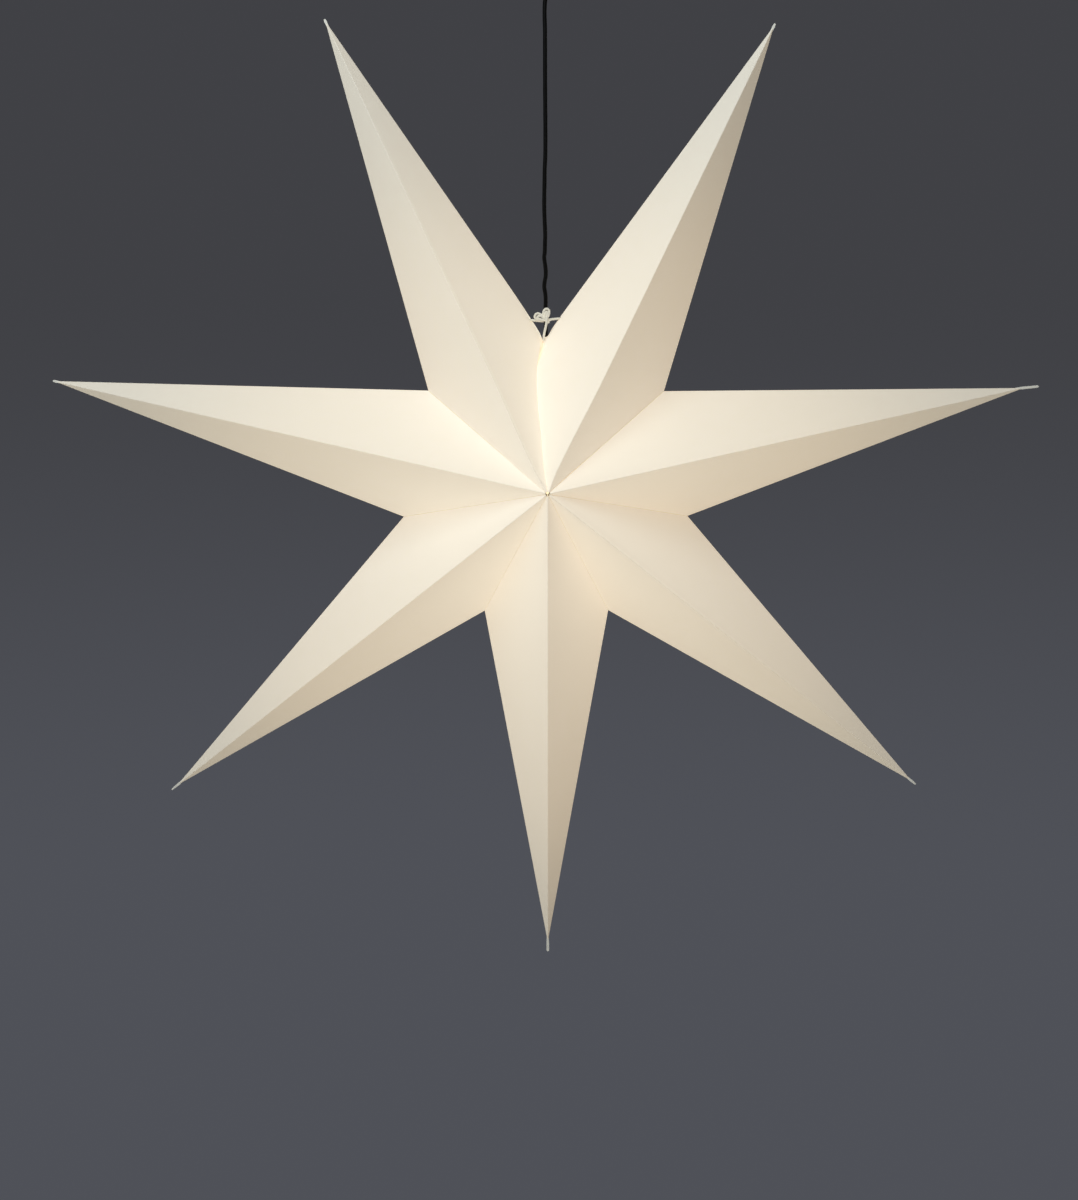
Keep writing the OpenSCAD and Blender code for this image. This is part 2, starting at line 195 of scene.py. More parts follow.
def lathe(profile, segments=64, closed=True):
    """Form of a profile of (radius, height) turned round the Z axis."""
    verts, rings, faces = [], [], []
    for radius, height in profile:
        start = len(verts)
        if radius < 1e-7:
            rings.append([start] * segments)
            verts.append(Vector((0, 0, height)))
            continue
        rings.append([start + s for s in range(segments)])
        for s in range(segments):
            angle = 2 * math.pi * s / segments
            verts.append(Vector((radius * math.cos(angle), radius * math.sin(angle), height)))
    for low, high in zip(rings, rings[1:] + (rings[:1] if closed else [])):
        faces += band(low, high)
    return verts, faces


def spindle(profile, segments=64):
    """Solid of a profile turned round the Z axis, with a flat face at either end."""
    low, high = profile[0][1], profile[-1][1]
    return lathe([(0.0, low)] + profile + [(0.0, high)], segments, closed=False)


def rod(radius, low, high, segments=24):
    return spindle([(radius, low), (radius, high)], segments)


def arc(centre, radius, start, end, steps):
    """Points (a, b) of an arc about a centre, between two angles in degrees."""
    made = []
    for n in range(steps + 1):
        angle = math.radians(start + (end - start) * n / steps)
        made.append((centre[0] + radius * math.cos(angle), centre[1] + radius * math.sin(angle)))
    return made


def rounded(points, radius, steps=4):
    """Closed outline with its corners rounded: points are (a, b) pairs."""
    made = []
    for i, p in enumerate(points):
        here = Vector(p)
        way_in = Vector(points[i - 1]) - here
        way_out = Vector(points[(i + 1) % len(points)]) - here
        reach = min(radius, way_in.length * 0.45, way_out.length * 0.45)
        start, end = here + way_in.normalized() * reach, here + way_out.normalized() * reach
        for s in range(steps + 1):
            f = s / steps
            made.append(tuple((1 - f) ** 2 * start + 2 * f * (1 - f) * here + f * f * end))
    return made


def rectangle(half_a, half_b):
    return [(-half_a, -half_b), (half_a, -half_b), (half_a, half_b), (-half_a, half_b)]


def upright(a, b, level):
    return Vector((a, b, level))


def slab(outline, low, high, place=upright):
    """Straight-walled form between two levels, from a closed outline of (a, b) pairs."""
    verts = [place(a, b, level) for level in (low, high) for a, b in outline]
    bottom, top = [list(ring) for ring in ring_rows(2, len(outline))]
    return verts, band(bottom, top) + [bottom[::-1], top]


def moved(form, place):
    verts, faces = form
    return [place @ v for v in verts], faces


class Heap:
    """Several closed forms gathered into one mesh."""

    def __init__(self, forms=()):
        self.verts, self.faces, self.marks = [], [], []
        for form in forms:
            self.add(form)

    def add(self, form, mark=0):
        verts, faces = form
        start = len(self.verts)
        self.verts += verts
        self.faces += [[start + i for i in face] for face in faces]
        self.marks += [mark] * len(faces)

    def piece(self, name, materials, sharp=35):
        return part_from_mesh(name, self.verts, self.faces, materials, self.marks, sharp)


def cut_with(piece, forms):
    """Cuts closed forms out of a piece, and keeps the result as its mesh."""
    cutter = Heap(forms).piece("cutter", [])
    change = piece.modifiers.new("cut", "BOOLEAN")
    change.operation, change.object, change.solver = "DIFFERENCE", cutter, "MANIFOLD"
    shape = bpy.data.meshes.new_from_object(piece.evaluated_get(bpy.context.evaluated_depsgraph_get()))
    piece.modifiers.clear()
    piece.data = shape
    bpy.data.objects.remove(cutter)


def smooth_route(points, spacing):
    """Closely spaced points on a smooth line through a route, and how far along it each is."""
    route = [Vector(p) for p in points]
    ends = [2 * route[0] - route[1]] + route + [2 * route[-1] - route[-2]]
    made, where = [], []
    for i in range(1, len(ends) - 2):
        a, b, c, d = ends[i - 1:i + 3]
        count = max(1, round((c - b).length / spacing))
        for s in range(count):
            f = s / count
            made.append(0.5 * (2 * b + (c - a) * f + (2 * a - 5 * b + 4 * c - d) * f * f
                               + (3 * b - a - 3 * c + d) * f ** 3))
            where.append(i - 1 + f)
    return made + [route[-1]], where + [len(route) - 1]


def tube(line, section):
    """Tube along a line; section(n, turn) gives the radius there. Its ends are domed over."""
    last, around = len(line) - 1, section.around
    side = Vector((0.2, 1, 0.3))
    verts, faces = [], []
    for n, here in enumerate(line):
        way = (line[min(n + 1, last)] - line[max(n - 1, 0)]).normalized()
        side = (side - side.dot(way) * way).normalized()
        up = way.cross(side)
        for s in range(around):
            turn = 2 * math.pi * s / around
            verts.append(here + section(n, turn) * (math.cos(turn) * side + math.sin(turn) * up))
    rings = ring_rows(len(line), around)
    for low, high in zip(rings, rings[1:]):
        faces += band(low, high)
    for n, beyond in ((0, line[0] - line[1]), (last, line[-1] - line[-2])):
        middle = len(verts)
        verts.append(line[n] + beyond.normalized() * 0.3 * section(n, 0))
        faces += [[rings[n][s], rings[n][(s + 1) % around], middle] for s in range(around)]
    return verts, faces


# ---- node tools
COLOUR, VALUE = "NodeSocketColor", "NodeSocketFloat"


def rgba(colour):
    return (*colour, 1)


def node_group(name, inputs, outputs):
    """Empty shader node group with its sockets, and its input and output nodes."""
    group = bpy.data.node_groups.new(name, "ShaderNodeTree")
    for label, kind, value in inputs:
        made = group.interface.new_socket(name=label, in_out="INPUT", socket_type=kind)
        made.default_value = value
    for label, kind in outputs:
        group.interface.new_socket(name=label, in_out="OUTPUT", socket_type=kind)
    return group, group.nodes.new("NodeGroupInput").outputs, group.nodes.new("NodeGroupOutput")


def feed(tree, node, **values):
    """Sets or links a node's inputs, by name with _ for each space, or by number as i0, i1."""
    for key, value in values.items():
        socket = node.inputs[int(key[1:]) if key[1:].isdigit() else key.replace("_", " ")]
        if isinstance(value, bpy.types.NodeSocket):
            tree.links.new(value, socket)
        else:
            socket.default_value = value
    return node


def put(tree, kind, settings=None, **values):
    """Adds a node with its settings and inputs, and gives its outputs."""
    node = tree.nodes.new(kind)
    for key, value in (settings or {}).items():
        setattr(node, key, value)
    return feed(tree, node, **values).outputs


def work_out(tree, operation, *values):
    """Output of a Math node."""
    inputs = {f"i{n}": value for n, value in enumerate(values)}
    return put(tree, "ShaderNodeMath", {"operation": operation}, **inputs)[0]


def work_out_vector(tree, operation, *values, **more):
    """Outputs of a Vector Math node."""
    inputs = {f"i{n}": value for n, value in enumerate(values)}
    return put(tree, "ShaderNodeVectorMath", {"operation": operation}, **inputs, **more)


def blend_colours(tree, kind, factor, a, b):
    """Output of a colour Mix node."""
    settings = {"data_type": "RGBA", "blend_type": kind}
    return put(tree, "ShaderNodeMix", settings, i0=factor, i6=a, i7=b)[2]


def graded(tree, value, low, high, start=0.0, end=1.0, kind="SMOOTHSTEP"):
    """Goes from the start to the end while the value goes from low to high."""
    return put(tree, "ShaderNodeMapRange", {"interpolation_type": kind}, Value=value,
               From_Min=low, From_Max=high, To_Min=start, To_Max=end)[0]


def place_on_piece(tree):
    return put(tree, "ShaderNodeTexCoord")["Object"]


def mottle(tree, where, scale, detail, **more):
    """Output of a noise pattern."""
    return put(tree, "ShaderNodeTexNoise", Vector=where, Scale=scale, Detail=detail, **more)["Fac"]


def bump(tree, height, strength, distance):
    return put(tree, "ShaderNodeBump", Strength=strength, Distance=distance, Height=height)[0]


# ---- shared effects
def card_stock_group():
    """Wood-pulp card: fibre clouds and short fibres, with painted shade along its folds and round the
    peak holes that darkens both its colour and its glow.
    """
    group, given, out = node_group(
        "Card stock",
        [("Colour", COLOUR, rgba(CARD_WHITE)), ("Cloud", VALUE, CARD_CLOUD), ("Fold shade", VALUE, 0.2)],
        [("Colour", COLOUR), ("Roughness", VALUE), ("Height", VALUE), ("Level", VALUE)])
    where = place_on_piece(group)
    clouds = mottle(group, where, 85.0, 4.0, Roughness=0.6)
    broad = mottle(group, where, 9.0, 2.0)
    fibres = mottle(group, where, 1400.0, 3.0, Roughness=0.7, Distortion=1.2)
    fold = put(group, "ShaderNodeAttribute", {"attribute_name": "fold"})["Fac"]
    wide = work_out(group, "MULTIPLY", work_out(group, "SUBTRACT", broad, 0.5), 0.7)
    both = work_out(group, "ADD", work_out(group, "SUBTRACT", clouds, 0.5), wide)
    cloudy = work_out(group, "MULTIPLY_ADD", both, given["Cloud"], 1.0)
    # Painted shade along the valleys beside seams and along the ridges, from the fold attribute
    painted_fold_shade = work_out(group, "MULTIPLY", fold, given["Fold shade"])
    level = work_out(group, "SUBTRACT", cloudy, painted_fold_shade)
    # Painted shade: a dark pit round the axis through the two peak holes, where many glued layers meet,
    # darkens the card's colour and its glow there
    flat = work_out_vector(group, "MULTIPLY", where, (1, 0, 1))[0]
    from_axis = work_out_vector(group, "DISTANCE", flat, (0, 0, STAR_Z))["Value"]
    level = work_out(group, "MULTIPLY", level, graded(group, from_axis, 0.0018, 0.0025, 0.08))
    # The card's colour takes the same level as its glow, so the painted shade darkens both
    tint = put(group, "ShaderNodeCombineColor", Red=level, Green=level, Blue=level)[0]
    height = work_out(group, "MULTIPLY_ADD", clouds, 0.6, work_out(group, "MULTIPLY", fibres, 0.4))
    feed(group, out, Colour=blend_colours(group, "MULTIPLY", 1.0, given["Colour"], tint),
         Roughness=work_out(group, "MULTIPLY_ADD", fibres, 0.14, 0.62), Height=height, Level=level)
    return group


def lamp_glow_group():
    """Light of the bulb that comes through: it falls off and warms with distance from it."""
    group, given, out = node_group(
        "Lamp glow", [("Near", COLOUR, rgba(GLOW_NEAR)), ("Far", COLOUR, rgba(GLOW_FAR)),
         ("Reach", VALUE, GLOW_REACH), ("Level", VALUE, 1.0)], [("Glow", COLOUR)])
    offset = work_out_vector(group, "SUBTRACT", place_on_piece(group), GLOW_CENTRE)[0]
    distance = work_out_vector(group, "LENGTH", offset)["Value"]
    shares = work_out(group, "DIVIDE", distance, given["Reach"])
    fall = work_out(group, "POWER", math.e, work_out(group, "MULTIPLY", shares, -1.0))
    # The narrow ends of the points let less of it through
    ends = graded(group, distance, 0.25, 0.5, 1.0, GLOW_AT_TIPS)
    near = work_out_vector(group, "SCALE", given["Near"], Scale=fall)[0]
    glow = work_out_vector(group, "ADD", near, given["Far"])[0]
    level = work_out(group, "MULTIPLY", ends, given["Level"])
    feed(group, out, Glow=work_out_vector(group, "SCALE", glow, Scale=level)[0])
    return group


def handled_group():
    """Moulded or metal surface that has been handled: soft blotches and fine grain."""
    group, given, out = node_group(
        "Handled surface",
        [("Colour", COLOUR, (0.5, 0.5, 0.5, 1)), ("Worn colour", COLOUR, (0.6, 0.6, 0.6, 1)),
         ("Scale", VALUE, 120.0), ("Wear", VALUE, 0.3), ("Roughness", VALUE, 0.4),
         ("Spread", VALUE, 0.15)], [("Colour", COLOUR), ("Roughness", VALUE), ("Height", VALUE)])
    where = place_on_piece(group)
    blotch = mottle(group, where, given["Scale"], 5.0, Roughness=0.6)
    grain = mottle(group, where, 2600.0, 2.0)
    mask = graded(group, blotch, 0.42, 0.78, kind="LINEAR")
    worn = work_out(group, "MULTIPLY", mask, given["Wear"])
    uneven = work_out(group, "ADD", work_out(group, "MULTIPLY", mask, 0.6),
                      work_out(group, "MULTIPLY", grain, 0.4))
    feed(group, out, Colour=blend_colours(group, "MIX", worn, given["Colour"], given["Worn colour"]),
         Roughness=work_out(group, "MULTIPLY_ADD", uneven, given["Spread"], given["Roughness"]),
         Height=work_out(group, "MULTIPLY_ADD", blotch, 0.3, grain))
    return group


CARD_STOCK = card_stock_group()
LAMP_GLOW = lamp_glow_group()
HANDLED = handled_group()


# ---- materials
def new_material(name):
    material = bpy.data.materials.new(name)
    material.use_nodes = True
    return material, material.node_tree, material.node_tree.nodes["Principled BSDF"]


def place_group(tree, group, **values):
    """Outputs of a shared effect, placed with the material's own values."""
    return put(tree, "ShaderNodeGroup", {"node_tree": group}, **values)


def card_material(name, near, far, fold_shade):
    """White card with the lamp's light coming through it."""
    material, tree, shader = new_material(name)
    stock = place_group(tree, CARD_STOCK, Colour=rgba(CARD_WHITE), Cloud=CARD_CLOUD,
                        Fold_shade=fold_shade)
    glow = place_group(tree, LAMP_GLOW, Near=rgba(near), Far=rgba(far), Reach=GLOW_REACH,
                       Level=stock["Level"])
    feed(tree, shader, Base_Color=stock["Colour"], Roughness=stock["Roughness"],
         Emission_Color=glow["Glow"], Emission_Strength=1.0, Specular_IOR_Level=0.25,
         Normal=bump(tree, stock["Height"], 0.25, 0.0002))
    return material


def handled_material(name, colour, worn, roughness, spread=0.15, wear=0.3, scale=120.0,
                     metallic=0.0, bump_strength=0.15, coat=0.0, specular=0.5):
    """Plain moulded, glazed or metal material."""
    material, tree, shader = new_material(name)
    surface = place_group(tree, HANDLED, Colour=rgba(colour), Worn_colour=rgba(worn),
                          Scale=scale, Wear=wear, Roughness=roughness, Spread=spread)
    feed(tree, shader, Base_Color=surface["Colour"], Roughness=surface["Roughness"],
         Metallic=metallic, Coat_Weight=coat, Specular_IOR_Level=specular,
         Normal=bump(tree, surface["Height"], bump_strength, 0.00005))
    return material


def cotton_material():
    """Soft white cotton string with loose fibres, and a painted glow of the lamp's light on it."""
    material, tree, shader = new_material("cotton_string")
    where = place_on_piece(tree)
    fluff = mottle(tree, where, 2200.0, 4.0)
    tone = mottle(tree, where, 260.0, 3.0)
    colour = blend_colours(tree, "MIX", tone, (0.88, 0.86, 0.8, 1), (0.72, 0.69, 0.61, 1))
    # Painted light: the string glows with the lamp's light, weaker with distance from the bulb and
    # uneven with its tone
    glow = place_group(tree, LAMP_GLOW, Near=(0.34, 0.31, 0.25, 1), Far=(0.1, 0.09, 0.07, 1),
                       Reach=GLOW_REACH, Level=tone)
    feed(tree, shader, Base_Color=colour, Emission_Color=glow["Glow"], Emission_Strength=1.0,
         Roughness=work_out(tree, "MULTIPLY_ADD", fluff, 0.15, 0.8), Sheen_Weight=0.35,
         Sheen_Roughness=0.5, Specular_IOR_Level=0.2, Normal=bump(tree, fluff, 0.5, 0.0001))
    return material


def opal_glass_material():
    """White opal glass with the light on behind it, brightest on its round end."""
    material, tree, shader = new_material("opal_glass")
    milk = mottle(tree, place_on_piece(tree), 60.0, 3.0)
    colour = blend_colours(tree, "MIX", milk, (0.9, 0.88, 0.84, 1), (0.82, 0.8, 0.75, 1))
    glow = place_group(tree, LAMP_GLOW, Near=(1.5, 1.32, 0.98, 1), Far=(0.1, 0.08, 0.05, 1),
                       Reach=GLASS_GLOW_REACH, Level=1.0)
    feed(tree, shader, Base_Color=colour, Emission_Color=glow["Glow"], Emission_Strength=1.0,
         Roughness=0.18, Coat_Weight=0.4)
    return material


card_outside = card_material("card_outside", GLOW_NEAR, GLOW_FAR, 0.22)
card_inside = card_material("card_inside", (0.36, 0.31, 0.23), (0.1, 0.07, 0.03), 0.1)
card_layers = card_material("card_layers", (0.1, 0.1, 0.095), (0.02, 0.018, 0.014), 0.0)
cord_black = handled_material("cord_sheath", (0.002, 0.002, 0.0025), (0.006, 0.006, 0.0065), 0.5,
                              scale=300.0, specular=0.12)
cotton = cotton_material()
holder_black = handled_material("holder_plastic", (0.02, 0.02, 0.021), (0.05, 0.05, 0.052), 0.22,
                                wear=0.25, scale=200.0)
cup_black = handled_material("cup_plastic", (0.022, 0.022, 0.024), (0.045, 0.045, 0.048), 0.42,
                             scale=90.0, bump_strength=0.3)
insulator_white = handled_material("insulator_white", (0.82, 0.8, 0.75), (0.68, 0.65, 0.58), 0.25,
                                   scale=150.0, coat=0.2)
brass = handled_material("brass", (0.76, 0.58, 0.27), (0.5, 0.36, 0.17), 0.24, spread=0.25,
                         wear=0.5, scale=400.0, metallic=1.0)
steel = handled_material("plated_steel", (0.62, 0.63, 0.64), (0.42, 0.42, 0.41), 0.3, spread=0.25,
                         wear=0.45, scale=350.0, metallic=1.0)
opal_glass = opal_glass_material()


def finish_piece(piece, slot, *nodes):
    """Rides on the one body, and hides the nodes that it stands for; its slot is not used."""
    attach(piece, "root")
    if nodes:
        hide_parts(*nodes)
    return piece


# ---- pendant cord
# Length of one twist of its cores
CORD_LAY = 0.042
# Places of its middle, (across, up)
CORD_ROUTE = [
    (0, -0.455), (0, -0.445), (0, -0.434), (0, -0.42), (-0.0001, -0.405), (-0.0003, -0.39),
    (-0.0005, -0.376), (-0.0004, -0.368), (-0.0008, -0.362), (-0.0018, -0.356), (-0.0015, -0.3505),
    (-0.0005, -0.345), (-0.0005, -0.339), (-0.0012, -0.333), (-0.002, -0.327), (-0.0015, -0.3215),
    (-0.0013, -0.313), (-0.0011, -0.304), (-0.0016, -0.293), (-0.0021, -0.28), (-0.0021, -0.266),
    (-0.0019, -0.253), (-0.0018, -0.242), (-0.0013, -0.231), (-0.0012, -0.216), (-0.0013, -0.2),
    (-0.0015, -0.182), (-0.0017, -0.164), (-0.0018, -0.146), (-0.0019, -0.128), (-0.002, -0.112),
    (-0.0024, -0.099), (-0.0022, -0.089), (-0.0012, -0.079), (-0.0003, -0.071), (0, -0.064),
    (0, -0.052), (0, -0.034), (0, -0.014),
]


class CordSection:
    """Round sheath that shows a trace of the two twisted cores under it."""

    around = 20

    def __init__(self, spacing):
        self.twist = 2 * math.pi * spacing / CORD_LAY

    def __call__(self, n, turn):
        return CORD_R * (0.985 + 0.015 * math.cos(2 * (turn - n * self.twist)))


def pendant_cord():
    spacing = 0.0015
    line = smooth_route([(x, 0, z) for x, z in CORD_ROUTE], spacing)[0]
    verts, faces = tube(line, CordSection(spacing))
    piece = part_from_mesh("pendant_cord_sheath", verts, faces, [cord_black])
    finish_piece(piece, "cord", "pendant_cord")
    return piece, line


cord_piece, cord_line = pendant_cord()


# ---- star geometry
def spot(angle, reach):
    return Vector((reach * math.cos(angle), 0, reach * math.sin(angle)))


def corner(k):
    reach = CORNER_REACH - (TOP_CORNER_DROP if k % POINTS == 0 else 0)
    across, up = CORNER_DRIFT[k % POINTS]
    return spot(math.pi / 2 + k * STEP, reach) + Vector((across, 0, up))


def corner_angle(k):
    return math.atan2(corner(k).z, corner(k).x)


def corner_radius(k):
    return corner(k).length


def tip(k):
    angle = math.pi / 2 + (k + 0.5) * STEP
    across, up = TIP_DRIFT[k]
    sag = TIP_SAG * abs(math.cos(angle))
    return spot(angle, POINT_REACH) + Vector((across, 0, up - sag))


def peak(side):
    return Vector((0, side * HALF_DEPTH, 0))


def plane_through(a, b, c, inside, depth):
    """Plane of three corners moved in by a depth: its outward normal, and its distance."""
    normal = (b - a).cross(c - a).normalized()
    if normal.dot(inside - a) > 0:
        normal = -normal
    return normal, normal.dot(a) - depth


def meet(*planes):
    """Where three planes cross."""
    return Matrix([p[0] for p in planes]).inverted() @ Vector([p[1] for p in planes])


def turned(a, b, share):
    """Unit direction part of the way from one direction to another."""
    angle = a.angle(b)
    return (math.sin((1 - share) * angle) * a + math.sin(share * angle) * b) / math.sin(angle)


# Rows along a point, as shares of the way from its seams to its tip
ROWS = (0, 0.0012, 0.006, 0.014, 0.026, 0.045, 0.07, 0.1, 0.14, 0.18, 0.23, 0.28, 0.33, 0.39,
        0.45, 0.51, 0.57, 0.63, 0.69, 0.75, 0.8, 0.85, 0.89, 0.925, 0.95, 0.97, 0.985, 0.995, 1)
# Columns over a panel, as shares of the seam from the inner corner to the peak hole
COLUMNS = (0.004, 0.02, 0.06, 0.12, 0.2, 0.3, 0.41, 0.52, 0.63, 0.73, 0.82, 0.9, 0.96, 1)
FOLD_STEPS = 4
FLAP_STEPS = 4
SHARP_FOLD = 50
# How strongly painted shade darkens the card's colour and its glow along a valley beside a seam and
# along a scored ridge
VALLEY_PAINTED_SHADE = 1.0
RIDGE_PAINTED_SHADE = 0.15
# An open seam has no glued flaps behind it, and gets much weaker painted shade
OPEN_SEAM_PAINTED_SHADE = 0.1


class Column:
    """One line of the folded sheet, from the edge of its glue flap over the seam to the tip."""

    def __init__(self, base, normal, seam=None, flap=None, drop=0.0, fold=0.0, across=0.0, line=None):
        self.base, self.normal, self.seam, self.flap = base, normal, seam, flap
        self.drop, self.fold, self.across, self.line = drop, fold, across, line

    def cells(self, apex, bow):
        """Outer point, inner point and painted fold shade of every row."""
        made = []
        for n in range(FLAP_STEPS):
            core = self.base.lerp(self.flap, 1 - n / FLAP_STEPS) if self.flap else self.base
            made.append(self.cell(core, self.seam or self.normal, VALLEY_PAINTED_SHADE))
        for n in range(FOLD_STEPS):
            share = 1 - n / FOLD_STEPS
            way = turned(self.normal, self.seam, share) if self.seam else self.normal
            made.append(self.cell(self.base, way, VALLEY_PAINTED_SHADE))
        for t in ROWS:
            core = self.line(t) if self.line else self.base.lerp(apex, t)
            rise = bow * math.sin(math.pi * self.across) * math.sin(math.pi * min(1, 1.15 * t))
            made.append(self.cell(core + rise * self.normal, self.normal, self.fold))
        return made

    def cell(self, core, way, fold):
        outer = FOLD_RADIUS - self.drop
        return core + outer * way, core + (outer - CARD) * way, fold


def on_panel(plane, x, z):
    """Point of a panel over a place on the star's middle plane."""
    normal, distance = plane
    return Vector((x, (distance - normal.x * x - normal.z * z) / normal.y, z))


def level_way(p):
    """Direction to a place as seen square on from the front."""
    return Vector((p.x, 0, p.z)).normalized()


def fold_ways(a, b):
    """Directions round a fold from one panel to the next, each with its painted fold shade."""
    ways = []
    for n in range(FOLD_STEPS + 1):
        between = 0 < n < FOLD_STEPS
        way = turned(a, b, n / FOLD_STEPS) if between else (a, b)[n > 0]
        ways.append((way, RIDGE_PAINTED_SHADE if between else 0.0))
    return ways


def point_columns(k):
    """Columns of the folded sheet of one point, from its free back edge round to its glue tab."""
    end, corners = tip(k), (corner(k), corner(k + 1))
    inside = (end + corners[0] + corners[1]) / 3
    panels, seams = {}, []
    for j, turn in ((0, 1), (1, -1)):
        for side in (-1, 1):
            panels[side, j] = plane_through(end, peak(side), corners[j], inside, FOLD_RADIUS)
        angle = corner_angle(k + j)
        normal = turn * Vector((math.sin(angle), 0, -math.cos(angle)))
        seams.append((normal, -SEAM_OFFSET))
    apex = meet(panels[-1, 0], panels[-1, 1], (Vector((0, 1, 0)), 0.0))

    def ridge_base(side):
        """Start of the ridge, on the edge of the hole in the peak."""
        top = meet(panels[side, 0], panels[side, 1], (level_way(end), 0.0))
        return top.lerp(apex, PEAK_HOLE_R / Vector((apex.x, 0, apex.z)).length)

    def flap_start(reach):
        return reach - FLAP_WIDTH * math.hypot(reach, HALF_DEPTH) / HALF_DEPTH

    def panel_columns(side, j):
        """Columns of one panel, from the outline fold to the ridge."""
        plane, seam, reach = panels[side, j], seams[j], corner_radius(k + j)
        out = spot(corner_angle(k + j), 1)
        start = meet(plane, panels[-side, j], seam)
        hole_x = math.sqrt(PEAK_HOLE_R ** 2 - SEAM_OFFSET ** 2)
        hole = hole_x * out - SEAM_OFFSET * seam[0]
        hole = on_panel(plane, hole.x, hole.z)
        taper_y = (HALF_DEPTH * (1 - FLAP_TAPER / reach)
                   - FLAP_WIDTH * math.hypot(reach, HALF_DEPTH) / reach)
        flap_line = [(flap_start(reach), FLAP_GAP), (FLAP_TAPER, taper_y), FLAP_END]
        made = []
        for w in COLUMNS:
            (a, b), share = flap_line[:2], w / FLAP_SHOULDER
            if w > FLAP_SHOULDER:
                (a, b), share = flap_line[1:], (w - FLAP_SHOULDER) / (1 - FLAP_SHOULDER)
            x, y = (a[i] + (b[i] - a[i]) * share for i in (0, 1))
            flap = x * out - SEAM_OFFSET * seam[0] + Vector((0, side * y, 0))
            made.append(Column(start.lerp(hole, w), plane[0], seam[0], flap, across=w))
        way = turned(level_way(hole), level_way(ridge_base(side)), 0.5) * PEAK_HOLE_R
        made.append(Column(on_panel(plane, way.x, way.z), plane[0], across=1.0))
        return made

    def outline_fold(j, first_side):
        """Columns round the outline fold beside one inner corner."""
        base = meet(panels[-1, j], panels[1, j], seams[j])
        seam = seams[j][0]
        flap = flap_start(corner_radius(k + j)) * spot(corner_angle(k + j), 1) - SEAM_OFFSET * seam
        ways = fold_ways(panels[first_side, j][0], panels[-first_side, j][0])
        return [Column(base, way, seam, flap, fold=mark) for way, mark in ways]

    back, front = ridge_base(1), ridge_base(-1)
    last = panels[1, 0][0]
    across = (corners[0] - end).normalized()
    ridge_way = (peak(1) - end).normalized()
    across = (across - across.dot(ridge_way) * ridge_way).normalized()
    columns = [Column(back + FREE_EDGE_SHIFT * across, last)]
    columns += panel_columns(1, 0)[::-1] + outline_fold(0, 1) + panel_columns(-1, 0)
    columns += [Column(front, way, fold=mark)
                for way, mark in fold_ways(panels[-1, 0][0], panels[-1, 1][0])]
    columns += panel_columns(-1, 1)[::-1] + outline_fold(1, -1) + panel_columns(1, 1)
    # The last panel's edge tucks under the first, and its tab is glued behind it
    for n, (way, mark) in enumerate(fold_ways(panels[1, 1][0], last)):
        drop = (CARD + LAYER_GAP) * n / FOLD_STEPS
        columns.append(Column(back, way, drop=drop, fold=mark))
    length = (back - apex).length
    for share in TAB_COLUMNS:
        def tab_line(t, share=share):
            from_peak, from_tip = t * length - TAB_FROM_PEAK, (1 - t) * length - TAB_FROM_TIP
            width = max(0.0, min(TAB_WIDTH, from_peak / TAB_SLOPE, from_tip))
            return back.lerp(apex, t) + share * width * across
        columns.append(Column(back, last, drop=CARD + LAYER_GAP, line=tab_line))
    return columns, apex


# Side of each top point, across the star, where its sheet is left unglued
OPEN_SEAM_SIDE = {"point_top_left": 1, "point_top_right": -1}
# How far the open seam stands off to the left, as (share down the seam, metres)
SEAM_BEND = ((0.2, 0.0085), (0.35, 0.009), (0.5, 0.0075), (0.66, 0.0052), (0.82, 0.0035), (1, 0))
SEAM_STAND_OFF = {
    "point_top_left": ((0, 0.004), (0.05, 0.0048)) + SEAM_BEND,
    "point_top_right": ((0, 0), (0.04, 0)) + SEAM_BEND}
# How wide and how high up that bend is, and the share of it on the back
BEND_REACH = 0.055
BEND_TOP = 0.165
BACK_BEND = 0.35
# How far the open corner springs back from the cord, and how soon that ends
SPRING = 0.0024
SPRING_REACH = 0.0035


def between_0_and_1(value):
    return min(1.0, max(0.0, value))


def stand_off(name, p):
    """Moves a place of a top point: the open seam bows, and its corner springs round the cord."""
    share = between_0_and_1(1 - p.z / corner_radius(0))
    table = SEAM_STAND_OFF[name]
    move = 0.0
    for (a, low), (b, high) in zip(table, table[1:]):
        if a <= share <= b:
            f = (share - a) / (b - a)
            move = low + (high - low) * f * f * (3 - 2 * f)
    fade = max(0.0, 1 - abs(p.x) / BEND_REACH) ** 2
    if p.y > 0:
        fade *= BACK_BEND
    below_top = between_0_and_1((1.15 - p.z / BEND_TOP) * 8)
    q = p + Vector((-move * fade * below_top, 0, 0))
    flat = Vector((p.x, p.y, 0))
    high_up = between_0_and_1((p.z - 0.1) / 0.02)
    if high_up > 0 and flat.length > 1e-6:
        spring = SPRING * math.exp(-flat.length / SPRING_REACH) * high_up
        q += flat.normalized() * spring
    return q


def sheet_faces(columns, number):
    """Faces of one side of the folded sheet, from the corner numbers of its columns."""
    seam_rows = FLAP_STEPS + FOLD_STEPS
    faces = []
    for c in range(len(columns) - 1):
        here, beside = number[c], number[c + 1]
        both = columns[c].seam is not None and columns[c + 1].seam is not None
        for r in range(0 if both else seam_rows, len(here) - 1):
            face = list(dict.fromkeys((here[r], beside[r], beside[r + 1], here[r + 1])))
            if len(face) > 2:
                faces.append(face)
    return faces


def edge_faces(faces, count):
    """Faces of the cut edge, between the two sides of the sheet."""
    used = {}
    for face in faces:
        for pair in zip(face, face[1:] + face[:1]):
            used[pair] = True
    return [[b, a, a + count, b + count] for a, b in used if (b, a) not in used]


